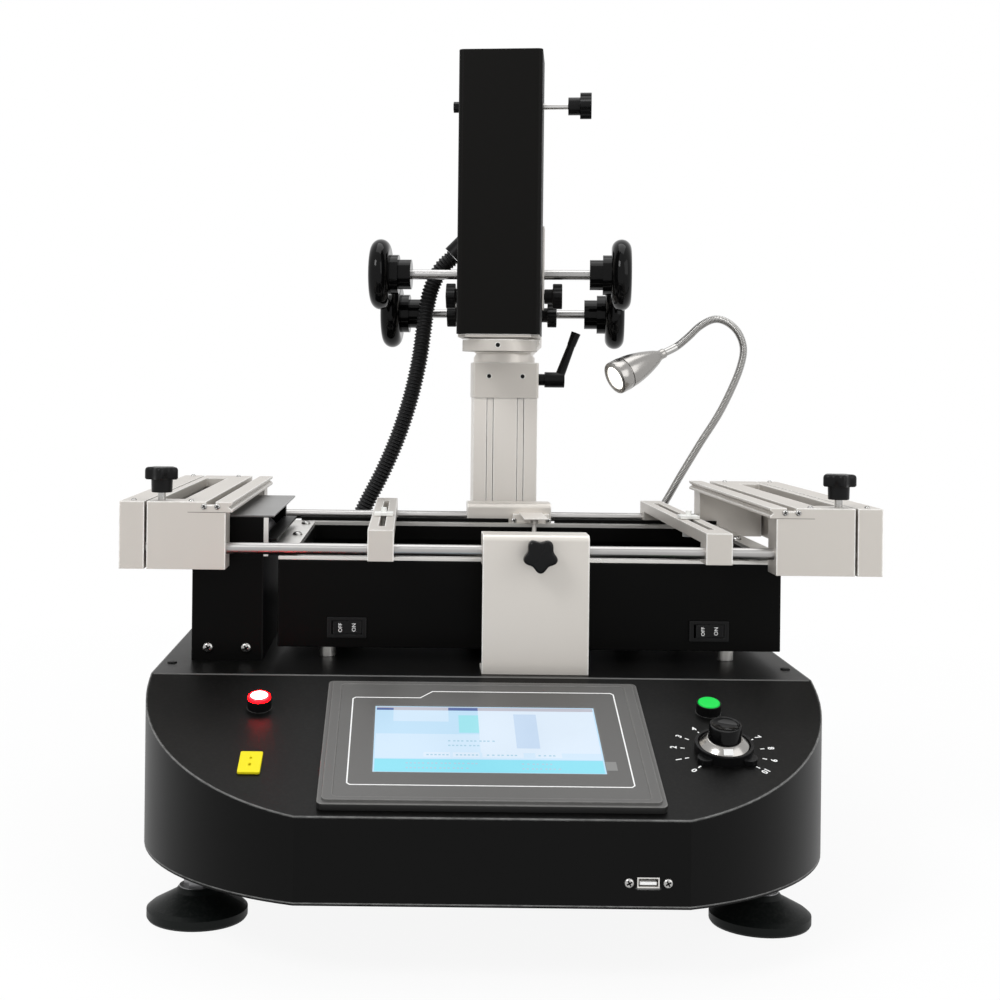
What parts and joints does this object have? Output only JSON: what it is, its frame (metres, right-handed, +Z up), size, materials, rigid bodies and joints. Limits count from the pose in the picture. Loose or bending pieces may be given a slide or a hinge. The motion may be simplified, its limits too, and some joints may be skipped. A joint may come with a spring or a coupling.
{
  "type": "bga rework station",
  "caption": "Bench rework station: black housing with touch panel, infrared preheater, sliding board clamps, slotted column and a hot-air head on rack slides with handwheels.",
  "frame": {"origin": "on the table top, under the middle of the machine's box", "axes": "+X to the operator's right, +Y to the rear, +Z up"},
  "size_m": [0.581, 0.798, 0.708],
  "materials": {
    "black_coat": "fine powder coat",
    "head_coat": "fine texture powder coat",
    "grey_coat": "satin",
    "dark_coat": "satin",
    "anodised": "bead-blasted and anodised",
    "stainless": "brushed",
    "chrome": "polished",
    "nickel": "satin nickel",
    "lamp_lens": "frosted, lit",
    "knob_black": "satin moulded",
    "wheel_black": "polished moulded",
    "foot_rubber": "satin",
    "hose_black": "corrugated",
    "panel_grey": "fine matt",
    "screen": "lit panel",
    "control_black": "satin moulded",
    "button_red": "lit lens",
    "button_green": "moulded",
    "jack_yellow": "moulded",
    "ceramic": "glazed ceramic",
    "circuit": "mixed",
    "fan_grey": "plain",
    "pin_white": "moulded"
  },
  "bodies": {
    "base": {"base_shell": "black_coat", "base_pan": "black_coat", "power_inlet": "control_black", "levelling_feet": "foot_rubber", "panel_bezel": "panel_grey", "panel_screen": "screen", "button_bodies": "control_black", "thermocouple_jack": "jack_yellow", "airflow_dial": "control_black", "usb_port": "stainless", "electronics": "circuit", "heater_tray": "black_coat", "heater_rim": "stainless", "heater_standoffs": "stainless", "ir_tiles": "ceramic", "lower_nozzle": "stainless", "switch_bodies": "control_black", "fan_housing": "black_coat", "fan_lid": "grey_coat", "rod_brackets": "anodised", "support_arm": "anodised", "column": "anodised", "column_cap": "anodised", "hose": "hose_black", "hose_gland": "control_black", "lamp_neck": "nickel", "lamp_head": "nickel", "lamp_lens": "lamp_lens"},
    "turret": {"turret_frame": "anodised", "air_manifold": "dark_coat"},
    "y_drive": {"y_shaft": "chrome", "y_wheels": "wheel_black"},
    "y_lock": {"y_lock": "knob_black"},
    "arm": {"arm_beam": "anodised"},
    "z_drive": {"z_shaft": "chrome", "z_wheels": "wheel_black"},
    "z_lock": {"z_lock": "knob_black"},
    "head": {"head_cover": "head_coat", "head_plate": "anodised", "heater_core": "stainless", "nozzle_ring": "anodised"},
    "cover_knob": {"cover_knob": "knob_black"},
    "clamp_lever": {"clamp_lever": "knob_black"},
    "table": {"guide_rods": "chrome", "end_beams": "anodised"},
    "left_carriage": {"left_carriage": "anodised"},
    "left_knob": {"left_knob": "knob_black"},
    "right_carriage": {"right_carriage": "anodised"},
    "right_knob": {"right_knob": "knob_black"},
    "left_bar": {"left_bar": "anodised"},
    "left_pin": {"left_pin": "pin_white"},
    "right_bar": {"right_bar": "anodised"},
    "right_pin": {"right_pin": "pin_white"},
    "bracket_knob": {"bracket_knob": "knob_black"},
    "red_button": {"red_button": "button_red"},
    "green_button": {"green_button": "button_green"},
    "left_rocker": {"left_rocker": "control_black"},
    "right_rocker": {"right_rocker": "control_black"},
    "airflow_knob": {"airflow_knob": "chrome"},
    "fan": {"fan_impeller": "fan_grey"}
  },
  "joints": [
    {"name": "turret_swivel", "type": "hinge", "parent": "base", "child": "turret", "pos_m": [0.0265, 0.231, 0.411], "axis": [0, 0, 1], "range_deg": [-9, 21], "deforming": ["hose"]},
    {"name": "arm_slide", "type": "slide", "parent": "turret", "child": "arm", "axis": [-0.1045, -0.9945, 0], "range_m": [0, 0.13]},
    {"name": "y_wheel_turn", "type": "hinge", "parent": "turret", "child": "y_drive", "pos_m": [0.02985, 0.26282, 0.463], "axis": [0.9945, -0.1045, 0], "range_deg": [-5, 625]},
    {"name": "y_lock_turn", "type": "hinge", "parent": "turret", "child": "y_lock", "pos_m": [0.02734, 0.23896, 0.461], "axis": [0.9945, -0.1045, 0], "range_deg": [0, 180]},
    {"name": "head_slide", "type": "slide", "parent": "arm", "child": "head", "axis": [0, 0, 1], "range_m": [-0.14, 0.015]},
    {"name": "z_wheel_turn", "type": "hinge", "parent": "arm", "child": "z_drive", "pos_m": [0.02315, 0.19917, 0.5], "axis": [0.9945, -0.1045, 0], "range_deg": [-75, 672]},
    {"name": "z_lock_turn", "type": "hinge", "parent": "arm", "child": "z_lock", "pos_m": [0.02315, 0.19917, 0.478], "axis": [0.9945, -0.1045, 0], "range_deg": [0, 180]},
    {"name": "cover_knob_turn", "type": "hinge", "parent": "head", "child": "cover_knob", "pos_m": [0.01636, 0.13453, 0.659], "axis": [0.9945, -0.1045, 0], "range_deg": [0, 180]},
    {"name": "clamp_lever_turn", "type": "hinge", "parent": "base", "child": "clamp_lever", "pos_m": [0.0615, 0.231, 0.394], "axis": [1, 0, 0], "range_deg": [-45, 60]},
    {"name": "table_slide", "type": "slide", "parent": "base", "child": "table", "axis": [1, 0, 0], "range_m": [-0.02, 0.02]},
    {"name": "left_carriage_slide", "type": "slide", "parent": "table", "child": "left_carriage", "axis": [1, 0, 0], "range_m": [0, 0.08]},
    {"name": "left_knob_turn", "type": "hinge", "parent": "left_carriage", "child": "left_knob", "pos_m": [-0.2605, -0.19, 0.296], "axis": [0, 0, 1], "range_deg": [0, 180]},
    {"name": "right_carriage_slide", "type": "slide", "parent": "table", "child": "right_carriage", "axis": [1, 0, 0], "range_m": [-0.025, 0]},
    {"name": "right_knob_turn", "type": "hinge", "parent": "right_carriage", "child": "right_knob", "pos_m": [0.2605, -0.19, 0.296], "axis": [0, 0, 1], "range_deg": [0, 180]},
    {"name": "left_bar_slide", "type": "slide", "parent": "table", "child": "left_bar", "axis": [1, 0, 0], "range_m": [-0.015, 0.04]},
    {"name": "left_pin_slide", "type": "slide", "parent": "left_bar", "child": "left_pin", "axis": [0, 1, 0], "range_m": [-0.09, 0.16]},
    {"name": "right_bar_slide", "type": "slide", "parent": "table", "child": "right_bar", "axis": [1, 0, 0], "range_m": [-0.065, 0]},
    {"name": "right_pin_slide", "type": "slide", "parent": "right_bar", "child": "right_pin", "axis": [0, 1, 0], "range_m": [-0.09, 0.16]},
    {"name": "bracket_knob_turn", "type": "hinge", "parent": "base", "child": "bracket_knob", "pos_m": [0.0285, -0.212, 0.26], "axis": [0, 1, 0], "range_deg": [0, 180]},
    {"name": "red_button_press", "type": "slide", "parent": "base", "child": "red_button", "axis": [0, 0.3082, -0.9513], "range_m": [0, 0.0025], "stiffness_N_per_m": 600},
    {"name": "green_button_press", "type": "slide", "parent": "base", "child": "green_button", "axis": [0, 0.3082, -0.9513], "range_m": [0, 0.0025], "stiffness_N_per_m": 600},
    {"name": "left_rocker_tilt", "type": "hinge", "parent": "base", "child": "left_rocker", "pos_m": [-0.1185, -0.153, 0.194], "axis": [0, 0, 1], "range_deg": [-16, 0]},
    {"name": "right_rocker_tilt", "type": "hinge", "parent": "base", "child": "right_rocker", "pos_m": [0.1685, -0.153, 0.194], "axis": [0, 0, 1], "range_deg": [-16, 0]},
    {"name": "airflow_knob_turn", "type": "hinge", "parent": "base", "child": "airflow_knob", "pos_m": [0.1485, -0.31881, 0.13598], "axis": [0, -0.3082, 0.9513], "range_deg": [-135, 135]},
    {"name": "fan_spin", "type": "hinge", "parent": "base", "child": "fan", "pos_m": [-0.2105, -0.147, 0.246], "axis": [0, 1, 0], "continuous": true}
  ],
  "couplings": [
    {"joint": "y_wheel_turn", "follows": "arm_slide", "rad_per_m": 83.333},
    {"joint": "z_wheel_turn", "follows": "head_slide", "rad_per_m": -83.333}
  ]
}
